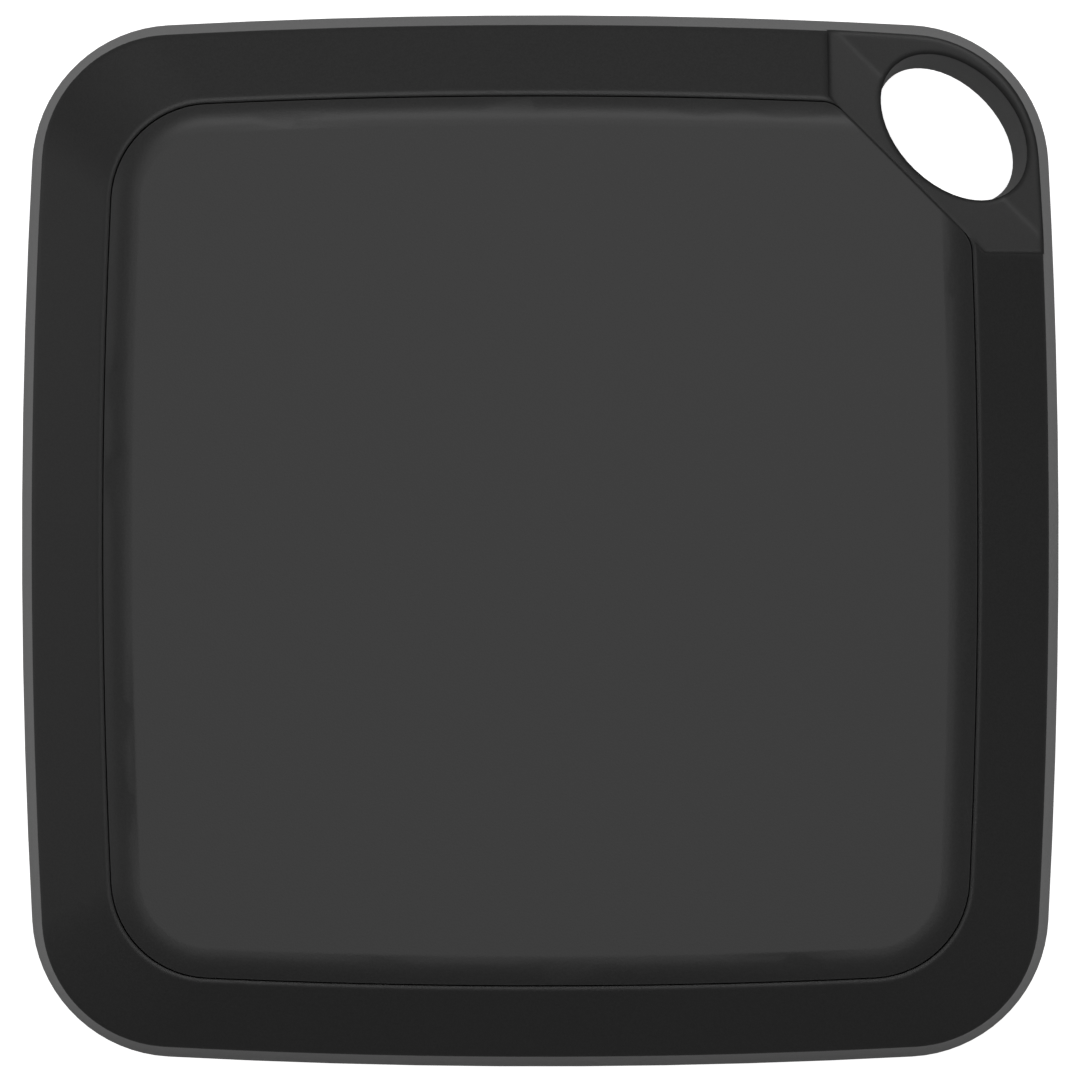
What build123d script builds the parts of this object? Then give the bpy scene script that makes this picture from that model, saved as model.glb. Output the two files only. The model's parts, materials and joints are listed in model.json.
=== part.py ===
from build123d import *
import os
from math import radians, sqrt, tan

os.makedirs("parts", exist_ok=True)

# A square coin-cell tracker tag that lies on its flat back. +Z is out of its front face, +Y is up,
# and the key-ring lug is in the +X +Y corner. The origin is at the bottom centre.

# ---- driving dimensions, mm ----
HALF_X = 18.0  # half width at the parting line
HALF_Y = 18.25  # half height at the parting line
CORNER_R = 5.0
BOW_R = 262.0  # radius of the gently bowed sides
PARTING_Z = 3.0
TOP_Z = 8.0
WALL_DRAFT = 9.25  # degrees
SLOPE_FOOT_Z = 7.6  # where the slopes meet the pad
SLOPE_TILT = 27.0  # degrees from flat
PAD_INSET = 3.06
PAD_CORNER_R = 3.4
PAD_GAP = 0.04
PAD_CUT = 17.68  # distance of the cut corner from the middle
RIM_R = 0.4
LUG_EDGE = 9.85  # where the lug starts along each side
LUG_CUT = 17.72
LUG_AXIS = 19.56  # distance of the key-ring hole's axis from the middle
LUG_FLOOR_Z = 2.2
LUG_VALLEY_Z = 5.95
LUG_TILT = 10.5
CAVITY_INSET = 1.5
CAVITY_CUT = 16.6
ROOF_Z = 6.0
BOARD_Z = 4.75
BOARD_T = 0.8
CELL_Z = 1.2
CELL_R = 10.0
CELL_H = 3.2
FLOOR_T = 1.0
SEAL_Z = 2.55  # bottom of the groove for the seal
SKIRT_Z = 5.45  # bottom of the pad's skirt

DIAGONAL = Plane(origin=(0, 0, 0), x_dir=(1, 1, 0), z_dir=(1, -1, 0))
BOARD_TOP = BOARD_Z + BOARD_T
LUG_DIR = Vector(1, 1, 0).normalized()


def outline(inset, corner_r):
    """The bowed square, set in from the outer outline, with rounded corners."""
    hx = HALF_X - inset
    hy = HALF_Y - inset
    cx = hx - hy**2 / (2 * BOW_R)
    cy = hy - hx**2 / (2 * BOW_R)
    with BuildSketch(mode=Mode.PRIVATE) as shape:
        with BuildLine():
            ThreePointArc((-cx, -cy), (0, -hy), (cx, -cy))
            ThreePointArc((cx, -cy), (hx, 0), (cx, cy))
            ThreePointArc((cx, cy), (0, hy), (-cx, cy))
            ThreePointArc((-cx, cy), (-hx, 0), (-cx, -cy))
        make_face()
        fillet(shape.vertices(), corner_r)
    return shape.sketch


def corner_triangle(cut):
    """Everything past a 45 degree line across the lug's corner."""
    far = 60
    with BuildSketch(mode=Mode.PRIVATE) as shape:
        with BuildLine():
            Polyline((cut * sqrt(2) - far, far), (cut * sqrt(2) + far, -far), (far * 2, far * 2), close=True)
        make_face()
    return shape.sketch


def cut_outline(inset, corner_r, cut, cut_r=1.0):
    """The bowed square without its lug corner."""
    with BuildSketch(mode=Mode.PRIVATE) as shape:
        add(outline(inset, corner_r))
        add(corner_triangle(cut), mode=Mode.SUBTRACT)
        near_cut = shape.vertices().sort_by(Axis((0, 0, 0), (1, 1, 0)))[-2:]
        fillet(near_cut, cut_r)
    return shape.sketch


def save(piece, name):
    piece.part.label = name
    export_step(piece.part, f"parts/{name}.step")


# ---- front shell: a drafted block under four slopes, with the lug in one corner ----
with BuildPart() as slope_form:
    low_z = 5.5
    run = (SLOPE_FOOT_Z - low_z) / tan(radians(SLOPE_TILT))
    with BuildSketch(Plane.XY.offset(SLOPE_FOOT_Z)):
        add(outline(PAD_INSET, PAD_CORNER_R))
    with BuildSketch(Plane.XY.offset(low_z)):
        add(outline(PAD_INSET - run, CORNER_R))
    loft(ruled=True)
    with BuildSketch(Plane.XY.offset(1.0)):
        add(outline(PAD_INSET - run, CORNER_R))
    extrude(amount=low_z - 1.0)
    with BuildSketch():
        with BuildLine():
            Polyline((LUG_EDGE, 25), (LUG_EDGE, LUG_CUT * sqrt(2) - LUG_EDGE),
                     (LUG_CUT * sqrt(2) - LUG_EDGE, LUG_EDGE), (25, LUG_EDGE), (25, 25), close=True)
        make_face()
    extrude(amount=20, mode=Mode.SUBTRACT)

with BuildPart() as lug_form:
    rise = (LUG_AXIS - LUG_CUT) * tan(radians(LUG_TILT))
    far = 8.0
    with BuildSketch(DIAGONAL):
        with BuildLine():
            Polyline((LUG_CUT - 2, -1.0), (LUG_AXIS + far, -1.0),
                     (LUG_AXIS + far, LUG_VALLEY_Z + far * tan(radians(LUG_TILT))), (LUG_AXIS, LUG_VALLEY_Z),
                     (LUG_CUT, LUG_VALLEY_Z + rise), (LUG_CUT - 2, LUG_VALLEY_Z + rise), close=True)
        make_face()
    extrude(amount=15, both=True)
    with BuildSketch():
        with BuildLine():
            Polyline((LUG_EDGE, 30), (LUG_EDGE, LUG_CUT * sqrt(2) - LUG_EDGE),
                     (LUG_CUT * sqrt(2) - LUG_EDGE, LUG_EDGE), (30, LUG_EDGE), (30, 30), close=True)
        make_face()
    extrude(amount=20, mode=Mode.INTERSECT)

with BuildPart() as front_shell:
    with BuildSketch(Plane.XY.offset(PARTING_Z)):
        add(outline(0, CORNER_R))
    extrude(amount=TOP_Z - PARTING_Z, taper=WALL_DRAFT)
    with BuildSketch(Plane.XY.offset(PARTING_Z)):
        add(outline(0, CORNER_R))
        add(corner_triangle(CAVITY_CUT + 0.8), mode=Mode.INTERSECT)
    extrude(amount=-(PARTING_Z - LUG_FLOOR_Z), taper=WALL_DRAFT)
    with BuildPart(mode=Mode.PRIVATE) as form:
        add(slope_form.part)
        add(lug_form.part)
    add(form.part, mode=Mode.INTERSECT)
    # the opening that the pad fits, and the cavity for the works
    with BuildSketch(Plane.XY.offset(ROOF_Z - 1)):
        add(cut_outline(PAD_INSET - PAD_GAP, PAD_CORNER_R, PAD_CUT + PAD_GAP))
    extrude(amount=5, mode=Mode.SUBTRACT)
    with BuildSketch(Plane.XY.offset(PARTING_Z)):
        add(cut_outline(CAVITY_INSET, CORNER_R - CAVITY_INSET, CAVITY_CUT))
    extrude(amount=ROOF_Z - PARTING_Z, mode=Mode.SUBTRACT)
    # the key-ring hole opens outward and upward
    hole_low = Plane(origin=LUG_DIR * (LUG_AXIS + 0.35) + Vector(0, 0, 1.5), x_dir=(1, -1, 0), z_dir=(0, 0, 1))
    hole_high = Plane(origin=LUG_DIR * (LUG_AXIS + 0.60) + Vector(0, 0, 7.5), x_dir=(1, -1, 0), z_dir=(0, 0, 1))
    with BuildSketch(hole_low):
        Ellipse(2.75, 1.79)
    with BuildSketch(hole_high):
        Ellipse(3.0, 2.04)
    loft(mode=Mode.SUBTRACT)
save(front_shell, "front_shell")

# ---- pad: crowned edge, cut corner, skirt and a flange that stops under the roof of the shell ----
with BuildPart() as face_pad:
    crown = 0.64
    with BuildSketch(Plane.XY.offset(SKIRT_Z)):
        add(outline(PAD_INSET - crown, PAD_CORNER_R + crown))
    extrude(amount=TOP_Z - SKIRT_Z)
    fillet(face_pad.faces().sort_by(Axis.Z)[-1].edges(), 1.64)
    with BuildSketch(Plane.XY.offset(SKIRT_Z)):
        add(cut_outline(PAD_INSET, PAD_CORNER_R, PAD_CUT))
    extrude(amount=TOP_Z - SKIRT_Z, mode=Mode.INTERSECT)
    with BuildSketch(Plane.XY.offset(SKIRT_Z)):
        add(cut_outline(PAD_INSET + 0.8, PAD_CORNER_R - 0.8, PAD_CUT - 0.8, 0.5))
    extrude(amount=1.55, mode=Mode.SUBTRACT)
    with BuildSketch(Plane.XY.offset(SKIRT_Z)):
        add(cut_outline(PAD_INSET - 0.9, PAD_CORNER_R + 0.9, CAVITY_CUT - 0.1))
        add(cut_outline(PAD_INSET + 0.8, PAD_CORNER_R - 0.8, CAVITY_CUT - 1.0, 0.5), mode=Mode.SUBTRACT)
    extrude(amount=0.5)
save(face_pad, "face_pad")

with BuildPart() as pad_gasket:
    with BuildSketch(Plane.XY.offset(BOARD_Z)):
        add(cut_outline(PAD_INSET - 0.9, PAD_CORNER_R + 0.9, CAVITY_CUT - 0.1))
        add(cut_outline(PAD_INSET + 0.8, PAD_CORNER_R - 0.8, CAVITY_CUT - 1.0, 0.5), mode=Mode.SUBTRACT)
    extrude(amount=0.67)
save(pad_gasket, "pad_gasket")

# ---- rear cover: floor, wall up to the parting line and a spigot inside the front shell ----
with BuildPart() as rear_cover:
    with BuildSketch(Plane.XY.offset(PARTING_Z - 0.05)):
        add(cut_outline(0.03, CORNER_R, CAVITY_CUT + 0.7))
    extrude(amount=-(PARTING_Z - 0.05), taper=6)
    fillet(rear_cover.faces().sort_by(Axis.Z)[0].edges(), 0.8)
    with BuildSketch(Plane.XY.offset(FLOOR_T)):
        add(cut_outline(CAVITY_INSET + 0.8, CORNER_R - 2.0, CAVITY_CUT - 0.9))
    extrude(amount=PARTING_Z, mode=Mode.SUBTRACT)
    with BuildSketch(Plane.XY.offset(FLOOR_T)):
        add(cut_outline(CAVITY_INSET + 0.08, CORNER_R - CAVITY_INSET, CAVITY_CUT - 0.1))
        add(cut_outline(CAVITY_INSET + 0.8, CORNER_R - 2.0, CAVITY_CUT - 0.9), mode=Mode.SUBTRACT)
    extrude(amount=2.9)
    with BuildSketch(Plane.XY.offset(SEAL_Z)):
        add(cut_outline(0.5, CORNER_R - 0.5, CAVITY_CUT + 0.2))
        add(cut_outline(1.1, CORNER_R - 1.1, CAVITY_CUT - 0.4), mode=Mode.SUBTRACT)
    extrude(amount=PARTING_Z - SEAL_Z, mode=Mode.SUBTRACT)
    # the notch where a coin pries the halves apart
    with Locations((0, -HALF_Y, PARTING_Z - 0.3)):
        Box(6, 0.8, 0.6, mode=Mode.SUBTRACT)
save(rear_cover, "rear_cover")

with BuildPart() as battery_cushion:
    with BuildSketch(Plane.XY.offset(FLOOR_T)):
        Circle(7.5)
    extrude(amount=CELL_Z - FLOOR_T)
save(battery_cushion, "battery_cushion")

# ---- tray: a plate under the board, a ring round the cell, an outer wall and four bosses ----
SCREWS = [(-11.3, -11.3), (11.3, -11.3), (-11.3, 11.3), (9.4, 9.4)]
with BuildPart() as battery_tray:
    with BuildSketch(Plane.XY.offset(4.0)):
        add(cut_outline(CAVITY_INSET + 0.05, CORNER_R - CAVITY_INSET, CAVITY_CUT - 0.05))
    extrude(amount=BOARD_Z - 4.0)
    with BuildSketch(Plane.XY.offset(1.4)):
        add(cut_outline(2.5, 2.8, 15.5))
        add(cut_outline(3.2, 2.2, 14.8), mode=Mode.SUBTRACT)
        Circle(11.2)
        with Locations(*SCREWS):
            Circle(1.6)
    extrude(amount=2.6)
    with BuildSketch(Plane.XY.offset(1.0)):
        Circle(10.25)
    extrude(amount=6, mode=Mode.SUBTRACT)
    with BuildSketch(Plane.XY.offset(2.6)):
        with Locations(*SCREWS):
            Circle(0.62)
    extrude(amount=4, mode=Mode.SUBTRACT)
    with Locations((0, -11.6, 3.0)):
        Box(4.4, 3.6, 5, mode=Mode.SUBTRACT)
save(battery_tray, "battery_tray")

# ---- board, its screws and what is soldered to it ----
with BuildPart() as circuit_board:
    with BuildSketch(Plane.XY.offset(BOARD_Z)):
        add(cut_outline(4.2, 2.2, 15.3))
        with Locations(*SCREWS):
            Circle(0.8, mode=Mode.SUBTRACT)
    extrude(amount=BOARD_T)
save(circuit_board, "circuit_board")

with BuildPart() as board_screws:
    with BuildSketch(Plane.XY.offset(BOARD_TOP)):
        with Locations(*SCREWS):
            Circle(1.2)
    extrude(amount=0.5)
    fillet(board_screws.faces().group_by(Axis.Z)[-1].edges(), 0.15)
    with BuildSketch(Plane.XY.offset(2.8)):
        with Locations(*SCREWS):
            Circle(0.6)
    extrude(amount=BOARD_TOP - 2.8)
    with Locations(*[(x, y, BOARD_TOP + 0.45) for x, y in SCREWS]):
        Box(1.5, 0.3, 0.4, mode=Mode.SUBTRACT)
        Box(0.3, 1.5, 0.4, mode=Mode.SUBTRACT)
save(board_screws, "board_screws")


def board_parts(name, places, size, edge=0.06):
    """Blocks of one size that stand on the board, with softened top edges."""
    with BuildPart() as group:
        with BuildSketch(Plane.XY.offset(BOARD_TOP)):
            with Locations(*places):
                Rectangle(size[0], size[1])
        extrude(amount=size[2])
        chamfer(group.faces().group_by(Axis.Z)[-1].edges(), edge)
    save(group, name)


board_parts("bluetooth_chip", [(-5.4, 4.6)], (5.0, 5.0, 0.6))
board_parts("main_crystal", [(-9.6, 5.2)], (1.6, 2.0, 0.5))
board_parts("clock_crystal", [(-5.2, 9.3)], (3.2, 1.5, 0.65))
board_parts("chip_antenna", [(-12.4, -4.0)], (1.6, 3.2, 0.9))
board_parts("motion_sensor", [(4.6, 7.4)], (2.0, 2.0, 0.65))
board_parts("sounder_driver", [(11.8, -3.4)], (1.4, 2.9, 0.9))
board_parts("boost_inductor", [(11.6, 2.2)], (3.0, 3.0, 1.0))
board_parts("reservoir_capacitor", [(5.0, -12.0)], (3.5, 2.0, 1.0))
board_parts("capacitors", [(-9.2, 2.2), (-9.2, 0.8), (-1.4, 6.4), (-1.4, 5.2), (-1.4, 4.0), (-8.2, 8.9),
                           (2.4, 7.4), (11.6, -6.4), (11.6, 5.2), (7.9, -11.8)], (1.0, 0.5, 0.5))
board_parts("resistors", [(-12.2, -0.6), (-12.2, 0.8), (-7.2, 0.8), (-5.4, 0.8), (4.6, 5.2), (4.6, 9.6),
                          (9.4, -8.6), (2.0, -12.0)], (1.0, 0.5, 0.35), 0.04)

with BuildPart() as switch_hole:
    with BuildSketch(Plane.XY.offset(BOARD_TOP)):
        Rectangle(3.0, 2.6)
        Circle(0.8, mode=Mode.SUBTRACT)
    extrude(amount=0.5)
    with BuildSketch(Plane.XY.offset(BOARD_TOP)):
        Rectangle(3.0, 2.6)
    extrude(amount=0.1)
    chamfer(switch_hole.faces().group_by(Axis.Z)[-1].edges().filter_by(GeomType.LINE), 0.08)
save(switch_hole, "switch_body")

with BuildPart() as switch_plunger:
    with BuildSketch(Plane.XY.offset(BOARD_TOP + 0.38)):
        Circle(0.75)
    extrude(amount=0.4)
    fillet(switch_plunger.faces().sort_by(Axis.Z)[-1].edges(), 0.1)
save(switch_plunger, "switch_plunger")

# ---- sounder, glued to the back of the pad ----
with BuildPart() as sounder_ring:
    with BuildSketch(Plane.XY.offset(6.85)):
        Circle(10.0)
        Circle(8.8, mode=Mode.SUBTRACT)
    extrude(amount=0.15)
save(sounder_ring, "sounder_ring")

with BuildPart() as sounder_plate:
    with BuildSketch(Plane.XY.offset(6.7)):
        Circle(10.0)
    extrude(amount=0.15)
save(sounder_plate, "sounder_plate")

with BuildPart() as sounder_ceramic:
    with BuildSketch(Plane.XY.offset(6.56)):
        Circle(7.0)
    extrude(amount=0.14)
save(sounder_ceramic, "sounder_ceramic")

with BuildPart() as push_dot:
    with BuildSketch(Plane.XY.offset(6.36)):
        Circle(1.0)
    extrude(amount=0.2)
save(push_dot, "push_dot")

with BuildPart() as sounder_contacts:
    for x, top in ((8.6, 6.68), (5.9, 6.54)):
        with BuildSketch(Plane.YZ.offset(x - 0.5)):
            with BuildLine():
                Polyline((-7.0, BOARD_TOP), (-5.4, BOARD_TOP), (-3.0, top - 0.12), (-2.4, top - 0.12),
                         (-2.4, top), (-3.05, top), (-5.45, BOARD_TOP + 0.12), (-7.0, BOARD_TOP + 0.12), close=True)
            make_face()
        extrude(amount=0.8)
save(sounder_contacts, "sounder_contacts")

# ---- coin cell: can, cap and the gasket between them ----
with BuildPart() as battery_can:
    with BuildSketch(Plane.XY.offset(CELL_Z)):
        Circle(CELL_R)
    extrude(amount=CELL_H - 0.25)
    fillet(battery_can.faces().sort_by(Axis.Z)[0].edges(), 0.5)
    with BuildSketch(Plane.XY.offset(CELL_Z + 0.3)):
        Circle(CELL_R - 0.3)
    extrude(amount=CELL_H, mode=Mode.SUBTRACT)
save(battery_can, "battery_can")

with BuildPart() as battery_gasket:
    with BuildSketch(Plane.XY.offset(CELL_Z + 0.3)):
        Circle(CELL_R - 0.3)
        Circle(CELL_R - 0.9, mode=Mode.SUBTRACT)
    extrude(amount=CELL_H - 0.5)
save(battery_gasket, "battery_gasket")

with BuildPart() as battery_cap:
    with BuildSketch(Plane.XY.offset(CELL_Z + 0.35)):
        Circle(CELL_R - 0.92)
    extrude(amount=CELL_H - 0.35)
    fillet(battery_cap.faces().sort_by(Axis.Z)[-1].edges(), 0.3)
save(battery_cap, "battery_cap")

with BuildPart() as positive_contact:
    with BuildSketch(Plane.YZ.offset(-1.6)):
        with BuildLine():
            Polyline((-13.0, 4.55), (-11.3, 4.55), (-10.9, 3.6), (-10.05, 2.6), (-10.5, 1.8), (-10.7, 1.8),
                     (-10.27, 2.6), (-11.1, 3.55), (-11.45, 4.35), (-13.0, 4.35), close=True)
        make_face()
    extrude(amount=3.2)
save(positive_contact, "positive_contact")

with BuildPart() as negative_contact:
    with BuildSketch(Plane.YZ.offset(-1.5)):
        with BuildLine():
            Polyline((5.0, BOARD_Z), (2.0, BOARD_Z), (-1.0, 4.53), (-1.0, 4.41), (2.05, 4.63), (5.0, 4.63), close=True)
        make_face()
    extrude(amount=3.0)
save(negative_contact, "negative_contact")

with BuildPart() as rear_seal:
    with BuildSketch(Plane.XY.offset(SEAL_Z)):
        add(cut_outline(0.5, CORNER_R - 0.5, CAVITY_CUT + 0.2))
        add(cut_outline(1.1, CORNER_R - 1.1, CAVITY_CUT - 0.4), mode=Mode.SUBTRACT)
    extrude(amount=PARTING_Z - 0.02 - SEAL_Z)
save(rear_seal, "rear_seal")
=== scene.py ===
# %% [markdown]
# A square tracker tag that lies on its back. The moulded shells, the board and the coin cell come from the
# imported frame, at their real size. This lesson gives them their finishes, adds the bare pads on the board
# that only the eye needs, and sets up a plain studio. Lengths are in metres.

# %% Load the frame
import json
import math
import bpy
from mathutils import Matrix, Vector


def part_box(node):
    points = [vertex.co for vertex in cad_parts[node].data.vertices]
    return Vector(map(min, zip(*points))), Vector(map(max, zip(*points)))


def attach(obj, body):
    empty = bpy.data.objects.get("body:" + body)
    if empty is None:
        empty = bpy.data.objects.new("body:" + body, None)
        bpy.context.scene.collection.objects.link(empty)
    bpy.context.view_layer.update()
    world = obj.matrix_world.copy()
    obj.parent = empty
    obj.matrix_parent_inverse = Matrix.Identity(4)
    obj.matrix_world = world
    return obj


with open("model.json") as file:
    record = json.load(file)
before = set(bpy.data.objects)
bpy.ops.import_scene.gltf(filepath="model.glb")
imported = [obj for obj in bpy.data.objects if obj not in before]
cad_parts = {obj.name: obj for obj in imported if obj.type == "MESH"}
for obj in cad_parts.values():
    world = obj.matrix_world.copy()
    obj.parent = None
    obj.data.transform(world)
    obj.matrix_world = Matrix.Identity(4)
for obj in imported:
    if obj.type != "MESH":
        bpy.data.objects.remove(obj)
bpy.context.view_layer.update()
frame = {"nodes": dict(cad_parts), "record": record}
MM = 0.001

# %% [markdown]
# The camera looks straight down at the face, as a buyer sees it. A long distance keeps the walls from
# leaning, and the field of view follows from the width that should fill the frame.

# %% Camera
VIEW_WIDTH = 37.5 * MM
CAMERA_DISTANCE = 300 * MM
PARTING_HEIGHT = 3 * MM
CAMERA_SHIFT_X = -0.01 * MM
CAMERA_SHIFT_Y = 0.03 * MM
NEAREST_SEEN = 10 * MM
camera_data = bpy.data.cameras.new("camera")
camera_data.angle = 2 * math.atan(VIEW_WIDTH / 2 / CAMERA_DISTANCE)
camera_data.clip_start = NEAREST_SEEN
camera = bpy.data.objects.new("camera", camera_data)
camera.location = (CAMERA_SHIFT_X, CAMERA_SHIFT_Y, CAMERA_DISTANCE + PARTING_HEIGHT)
bpy.context.scene.collection.objects.link(camera)
bpy.context.scene.camera = camera
print("field of view", round(math.degrees(camera_data.angle), 2), "degrees")

# %% [markdown]
# Three soft panels light the tag. The key panel stands past the top edge, so the rounded edge of the pad
# catches it there and the opposite edge stays dark. A weak one fills from the left, and a wide one overhead
# lights the flat face. Black plastic shows its form by such reflections, far more than by its own colour.

# %% Lights
LAMPS = (
    {"name": "key_panel", "place": (0.0, 0.24, 0.40), "size": (0.26, 0.10), "power": 0.75},
    {"name": "left_panel", "place": (-0.36, 0.04, 0.12), "size": (0.10, 0.22), "power": 0.12},
    {"name": "top_panel", "place": (0.0, 0.0, 0.62), "size": (0.30, 0.30), "power": 0.9},
)
WORLD_STRENGTH = 0.12


def panel(name, place, size, power):
    """An area lamp that faces the tag, with its power in watts."""
    data = bpy.data.lights.new(name, "AREA")
    data.shape = "RECTANGLE"
    data.size, data.size_y = size
    data.energy = power
    lamp = bpy.data.objects.new(name, data)
    lamp.location = place
    direction = -lamp.location.normalized()
    lamp.rotation_euler = direction.to_track_quat("-Z", "Y").to_euler()
    bpy.context.scene.collection.objects.link(lamp)


for lamp_row in LAMPS:
    panel(**lamp_row)
world = bpy.data.worlds.new("studio")
world.use_nodes = True
world.node_tree.nodes["Background"].inputs["Color"].default_value = (1, 1, 1, 1)
world.node_tree.nodes["Background"].inputs["Strength"].default_value = WORLD_STRENGTH
bpy.context.scene.world = world
bpy.context.scene.view_settings.view_transform = "Standard"

# %% [markdown]
# The floor is white paper. To the camera alone it glows a little as well, so the background is white while
# the tag still shades the paper round it. The glow isn't seen in reflections.

# %% Floor
FLOOR_HALF = 1.5
FLOOR_DROP = 0.02 * MM
PAPER_COLOR = (0.85, 0.85, 0.85, 1)
PAPER_GLOW = 0.9
floor_mesh = bpy.data.meshes.new("floor")
floor_corners = [(x * FLOOR_HALF, y * FLOOR_HALF, 0) for x, y in ((-1, -1), (1, -1), (1, 1), (-1, 1))]
floor_mesh.from_pydata(floor_corners, [], [(0, 1, 2, 3)])
floor = bpy.data.objects.new("floor", floor_mesh)
floor.location.z = -FLOOR_DROP
bpy.context.scene.collection.objects.link(floor)
paper = bpy.data.materials.new("floor_paper")
paper.use_nodes = True
tree = paper.node_tree
shader = tree.nodes["Principled BSDF"]
shader.inputs["Base Color"].default_value = PAPER_COLOR
shader.inputs["Roughness"].default_value = 1.0
shader.inputs["Specular IOR Level"].default_value = 0.0
light_path = tree.nodes.new("ShaderNodeLightPath")
glow = tree.nodes.new("ShaderNodeMath")
glow.operation = "MULTIPLY"
glow.inputs[1].default_value = PAPER_GLOW
tree.links.new(light_path.outputs["Is Camera Ray"], glow.inputs[0])
shader.inputs["Emission Color"].default_value = (1, 1, 1, 1)
tree.links.new(glow.outputs[0], shader.inputs["Emission Strength"])
floor_mesh.materials.append(paper)
print("floor laid")

# %% [markdown]
# All pieces share one recipe: a base colour with a faint mottle, a roughness, and a fine grain as bump.
# The grain is noise on Object coordinates, so it stays on the piece when the piece moves. Metal stretches
# the grain into brush lines. The mouldings also get a small rounding of their edges in the shader, which
# makes a sharp rim catch the light.

# %% Finish recipe
GRAIN_HEIGHT = 0.005 * MM
ROUGHNESS_SPREAD = 0.05
MOTTLE_START = 0.35
MOTTLE_END = 0.65
BEVEL_SAMPLES = 8


def grain_noise(nodes, links, grain, stretch):
    """Fine noise in the piece's own space, drawn out along an axis where stretch says so."""
    place = nodes.new("ShaderNodeTexCoord")
    source = place.outputs["Object"]
    if stretch:
        mapping = nodes.new("ShaderNodeMapping")
        mapping.inputs["Scale"].default_value = stretch
        links.new(source, mapping.inputs["Vector"])
        source = mapping.outputs["Vector"]
    noise = nodes.new("ShaderNodeTexNoise")
    noise.inputs["Scale"].default_value = grain / MM
    noise.inputs["Detail"].default_value = 3.0
    links.new(source, noise.inputs["Vector"])
    return noise.outputs["Fac"]


def mottled_color(nodes, links, noise, color, mottle):
    """The base colour, a little darker and lighter with the noise."""
    ramp = nodes.new("ShaderNodeValToRGB")
    low, high = ramp.color_ramp.elements
    low.position = MOTTLE_START
    low.color = (*[c * (1 - mottle) for c in color], 1)
    high.position = MOTTLE_END
    high.color = (*[min(1.0, c * (1 + mottle)) for c in color], 1)
    links.new(noise, ramp.inputs["Fac"])
    return ramp.outputs["Color"]


def grain_bump(nodes, links, noise, strength, rounding):
    """The grain as bump, laid over rounded edges where rounding is given."""
    bump = nodes.new("ShaderNodeBump")
    bump.inputs["Strength"].default_value = strength
    bump.inputs["Distance"].default_value = GRAIN_HEIGHT
    links.new(noise, bump.inputs["Height"])
    if rounding:
        edge = nodes.new("ShaderNodeBevel")
        edge.samples = BEVEL_SAMPLES
        edge.inputs["Radius"].default_value = rounding * MM
        links.new(edge.outputs["Normal"], bump.inputs["Normal"])
    return bump.outputs["Normal"]


def finish(name, color, rough, metal=0.0, specular=0.5, grain=60.0, bump=0.2, mottle=0.08, rounding=0.0,
           stretch=None):
    """A procedural finish. Grain is in cells for each millimetre, rounding in millimetres."""
    material = bpy.data.materials.new(name)
    material.use_nodes = True
    nodes, links = material.node_tree.nodes, material.node_tree.links
    surface = nodes["Principled BSDF"]
    surface.inputs["Metallic"].default_value = metal
    surface.inputs["Specular IOR Level"].default_value = specular
    noise = grain_noise(nodes, links, grain, stretch)
    links.new(mottled_color(nodes, links, noise, color, mottle), surface.inputs["Base Color"])
    gloss = nodes.new("ShaderNodeMapRange")
    gloss.inputs["To Min"].default_value = rough - ROUGHNESS_SPREAD
    gloss.inputs["To Max"].default_value = rough + ROUGHNESS_SPREAD
    links.new(noise, gloss.inputs["Value"])
    links.new(gloss.outputs["Result"], surface.inputs["Roughness"])
    links.new(grain_bump(nodes, links, noise, bump, rounding), surface.inputs["Normal"])
    return material


print("finish recipe ready")

# %% [markdown]
# The record gives each CAD node a slot, and each slot has one finish. The black shell and pad reflect less
# than the other plastics, as finely etched mouldings do.

# %% Finishes
SHELL_SPECULAR = 0.22
BRUSHED_ACROSS = (1, 14, 1)
ROLLED_ALONG = (14, 1, 1)
FINISHES = {
    "shell_plastic": finish("moulded_black", (0.026, 0.026, 0.026), 0.38, specular=SHELL_SPECULAR, grain=14,
                            bump=0.5, rounding=0.3),
    "pad_plastic": finish("moulded_pad", (0.030, 0.030, 0.030), 0.40, specular=SHELL_SPECULAR, grain=14,
                          bump=0.6, rounding=0.12),
    "inner_plastic": finish("frame_plastic", (0.018, 0.018, 0.019), 0.5, grain=10, rounding=0.1),
    "silicone": finish("soft_silicone", (0.05, 0.05, 0.052), 0.6, grain=6),
    "foam": finish("grey_foam", (0.06, 0.06, 0.07), 0.9, grain=9, bump=1.0, mottle=0.3),
    "board": finish("green_mask", (0.008, 0.085, 0.035), 0.32, grain=3, mottle=0.15),
    "steel": finish("brushed_steel", (0.56, 0.56, 0.55), 0.3, metal=1.0, grain=8, stretch=BRUSHED_ACROSS),
    "spring_steel": finish("gilt_spring", (0.78, 0.62, 0.33), 0.3, metal=1.0, grain=8,
                           stretch=BRUSHED_ACROSS),
    "chip_black": finish("chip_resin", (0.02, 0.02, 0.022), 0.55, grain=25, bump=0.4),
    "ceramic_white": finish("white_ceramic", (0.72, 0.70, 0.65), 0.5, grain=10),
    "capacitor_tan": finish("tan_ceramic", (0.42, 0.27, 0.15), 0.45, grain=10, mottle=0.12),
    "brass": finish("rolled_brass", (0.72, 0.50, 0.20), 0.28, metal=1.0, grain=6, stretch=ROLLED_ALONG),
    "silver_ceramic": finish("silvered_ceramic", (0.66, 0.66, 0.64), 0.5, grain=20, mottle=0.1),
    "adhesive": finish("clear_glue", (0.55, 0.55, 0.52), 0.4, grain=8),
}
SLOTS = {row["node"]: row["material_slot"] for row in frame["record"]["subparts"]}
for node_name, node in frame["nodes"].items():
    for slot in node.material_slots:
        slot.material = FINISHES[SLOTS[node_name]]
    if not node.material_slots:
        node.data.materials.append(FINISHES[SLOTS[node_name]])
print("nodes finished", len(frame["nodes"]))

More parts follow.
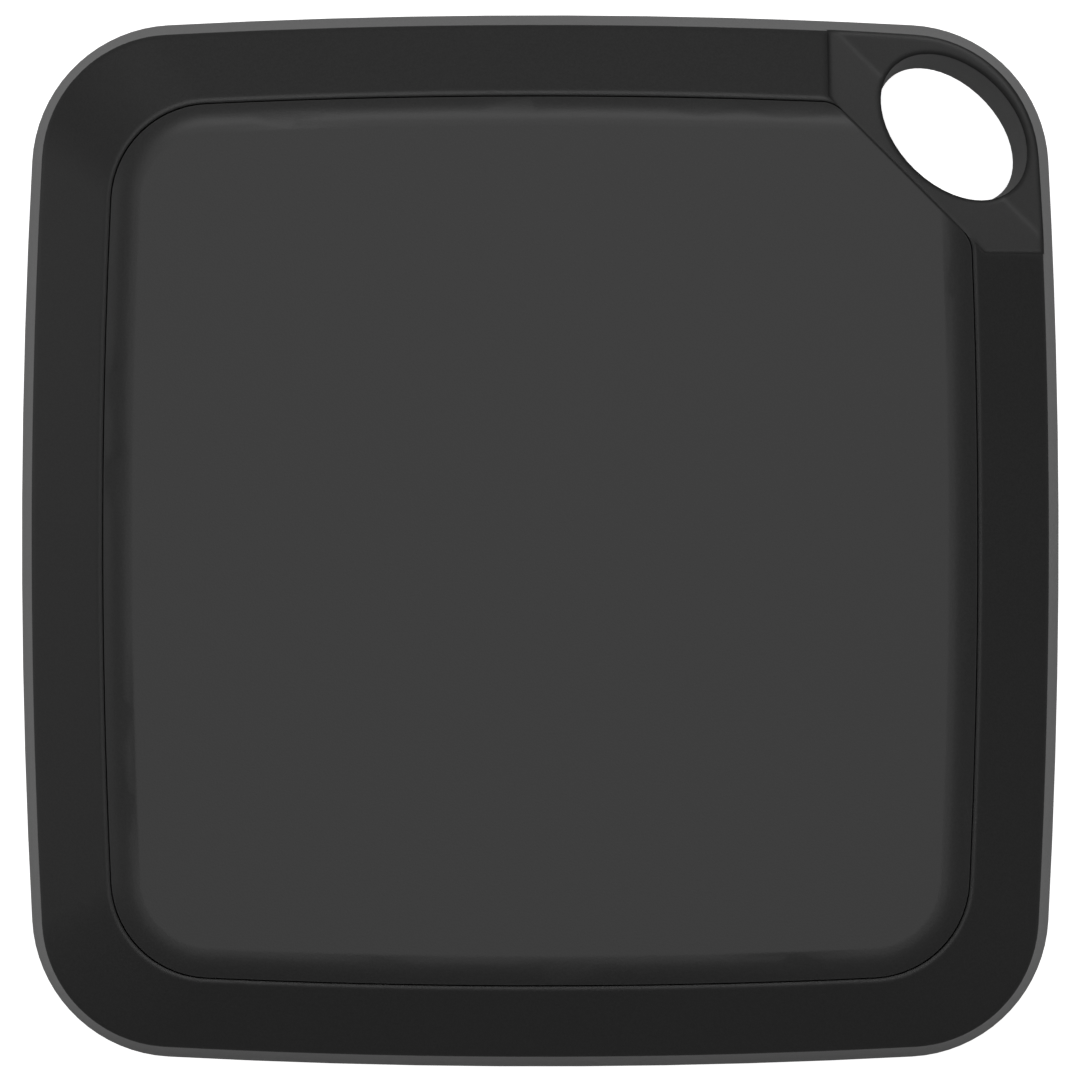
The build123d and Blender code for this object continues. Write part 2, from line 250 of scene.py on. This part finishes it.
# %% [markdown]
# A board has bare gilt pads where the test probes touch it. They are alike, so Geometry Nodes lay them in a
# field whose counts and sizes are named inputs. The field is as long as the count times the room for one
# pad, and the outer pads are centred on its edge. The result is turned into a plain mesh.

# %% Test pads
PAD_SIDES = 24
PADS_LONG = 4
PADS_WIDE = 2
PAD_ROOM = 1.1 * MM
PAD_RADIUS = 0.35 * MM
PAD_THICK = 0.03 * MM
FIELD_X = -6.5 * MM
FIELD_Y = -8.5 * MM


def pad_inputs(group):
    """Adds the group's inputs and gives the identifier and the value of each."""
    rows = (("Count X", "NodeSocketInt", PADS_LONG), ("Count Y", "NodeSocketInt", PADS_WIDE),
            ("Room", "NodeSocketFloat", PAD_ROOM), ("Radius", "NodeSocketFloat", PAD_RADIUS),
            ("Thickness", "NodeSocketFloat", PAD_THICK))
    values = {}
    for label, kind, value in rows:
        socket = group.interface.new_socket(label, in_out="INPUT", socket_type=kind)
        values[socket.identifier] = value
    return values


def pad_nodes(group, material):
    """Round pads on the points of a grid, realized and dressed."""
    group.interface.new_socket("Pads", in_out="OUTPUT", socket_type="NodeSocketGeometry")
    nodes, links = group.nodes, group.links
    entry, leave = nodes.new("NodeGroupInput"), nodes.new("NodeGroupOutput")
    grid = nodes.new("GeometryNodeMeshGrid")
    for axis in ("X", "Y"):
        span = nodes.new("ShaderNodeMath")
        span.operation = "MULTIPLY"
        links.new(entry.outputs["Count " + axis], span.inputs[0])
        links.new(entry.outputs["Room"], span.inputs[1])
        links.new(span.outputs[0], grid.inputs["Size " + axis])
        links.new(entry.outputs["Count " + axis], grid.inputs["Vertices " + axis])
    disc = nodes.new("GeometryNodeMeshCylinder")
    disc.inputs["Vertices"].default_value = PAD_SIDES
    links.new(entry.outputs["Radius"], disc.inputs["Radius"])
    links.new(entry.outputs["Thickness"], disc.inputs["Depth"])
    spread = nodes.new("GeometryNodeInstanceOnPoints")
    realize = nodes.new("GeometryNodeRealizeInstances")
    dress = nodes.new("GeometryNodeSetMaterial")
    dress.inputs["Material"].default_value = material
    links.new(grid.outputs["Mesh"], spread.inputs["Points"])
    links.new(disc.outputs["Mesh"], spread.inputs["Instance"])
    links.new(spread.outputs["Instances"], realize.inputs["Geometry"])
    links.new(realize.outputs["Geometry"], dress.inputs["Geometry"])
    links.new(dress.outputs["Geometry"], leave.inputs["Pads"])


def pad_field(name, material):
    """The whole field of pads as one plain mesh object, centred on the origin."""
    group = bpy.data.node_groups.new(name, "GeometryNodeTree")
    values = pad_inputs(group)
    pad_nodes(group, material)
    holder = bpy.data.objects.new(name + "_holder", bpy.data.meshes.new(name + "_holder"))
    bpy.context.scene.collection.objects.link(holder)
    modifier = holder.modifiers.new("grid", "NODES")
    modifier.node_group = group
    for identifier, value in values.items():
        modifier[identifier] = value
    graph = bpy.context.evaluated_depsgraph_get()
    mesh = bpy.data.meshes.new_from_object(holder.evaluated_get(graph))
    bpy.data.objects.remove(holder)
    piece = bpy.data.objects.new(name, mesh)
    bpy.context.scene.collection.objects.link(piece)
    return piece


board_low, board_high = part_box("circuit_board")
test_pads = pad_field("test_pads", FINISHES["spring_steel"])
for vertex in test_pads.data.vertices:
    vertex.co.x += FIELD_X
    vertex.co.y += FIELD_Y
    vertex.co.z += board_high.z + PAD_THICK / 2
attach(test_pads, "front")
print("test pads", len(test_pads.data.polygons), "faces")
